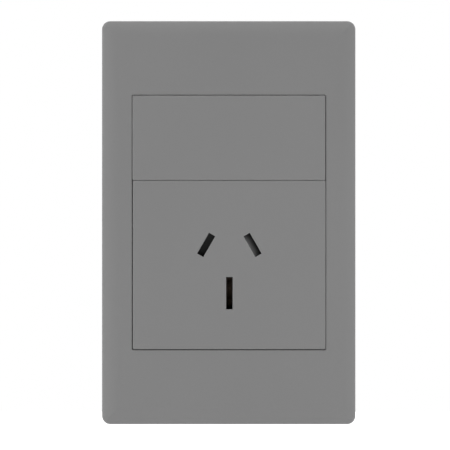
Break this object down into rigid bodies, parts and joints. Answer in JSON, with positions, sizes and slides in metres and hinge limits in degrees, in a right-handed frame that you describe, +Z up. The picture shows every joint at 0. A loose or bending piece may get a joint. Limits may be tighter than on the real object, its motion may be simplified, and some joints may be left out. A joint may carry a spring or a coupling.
{
  "type": "switched socket outlet",
  "caption": "Wall socket outlet for flat pins with a wide rocker switch above the pin slots, set in a clip-on plate with a softly curved edge.",
  "frame": {"origin": "centre of the wall plane, midway between the two fixing slots", "axes": "+X to the right seen from the front, +Y into the wall, +Z up; the front faces -Y"},
  "size_m": [0.075, 0.032, 0.1194],
  "materials": {
    "face_plastic": "fine matte",
    "frame_plastic": "satin",
    "base_plastic": "moulded, satin",
    "carrier_plastic": "natural, slightly glossy",
    "plunger_plastic": "low friction",
    "shutter_plastic": "matte",
    "contact_bronze": "cold rolled",
    "terminal_brass": "machined",
    "strip_brass": "stamped",
    "contact_silver": "bright",
    "terminal_screw_steel": "zinc plated",
    "case_screw_steel": "zinc plated",
    "spring_steel": "drawn wire"
  },
  "bodies": {
    "housing": {"cover_plate": "face_plastic", "mounting_frame": "frame_plastic", "socket_face": "face_plastic", "socket_base": "base_plastic", "shutter_spring": "spring_steel", "live_contact": "contact_bronze", "neutral_contact": "contact_bronze", "earth_contact": "contact_bronze", "live_terminal": "terminal_brass", "neutral_terminal": "terminal_brass", "earth_terminal": "terminal_brass", "socket_terminal_screws": "terminal_screw_steel", "socket_case_screws": "case_screw_steel", "switch_frame": "frame_plastic", "switch_base": "base_plastic", "fixed_contact": "contact_silver", "load_terminal_strip": "strip_brass", "common_terminal_strip": "strip_brass", "load_terminal": "terminal_brass", "common_terminal": "terminal_brass", "switch_terminal_screws": "terminal_screw_steel", "switch_case_screws": "case_screw_steel"},
    "rocker": {"rocker_key": "face_plastic", "rocker_carrier": "carrier_plastic", "plunger_spring": "spring_steel"},
    "plunger": {"plunger": "plunger_plastic"},
    "bridge": {"contact_bridge": "strip_brass", "moving_contact": "contact_silver"},
    "shutter": {"shutter": "shutter_plastic"}
  },
  "joints": [
    {"name": "rocker_rock", "type": "hinge", "parent": "housing", "child": "rocker", "pos_m": [0, -0.0069, 0.02505], "axis": [0, 0, 1], "range_deg": [-2.2, 2.2], "stiffness_Nm_per_rad": 2.9},
    {"name": "plunger_slide", "type": "slide", "parent": "rocker", "child": "plunger", "axis": [0, -1, 0], "range_m": [0, 0.0008], "stiffness_N_per_m": 500, "springref_m": -0.002, "deforming": ["plunger_spring"]},
    {"name": "bridge_rock", "type": "hinge", "parent": "housing", "child": "bridge", "pos_m": [0, 0.0062, 0.02505], "axis": [0, 0, 1], "range_deg": [-12, 0]},
    {"name": "shutter_slide", "type": "slide", "parent": "housing", "child": "shutter", "axis": [-1, 0, 0], "range_m": [0, 0.003], "stiffness_N_per_m": 150, "springref_m": -0.003, "deforming": ["shutter_spring"]}
  ]
}
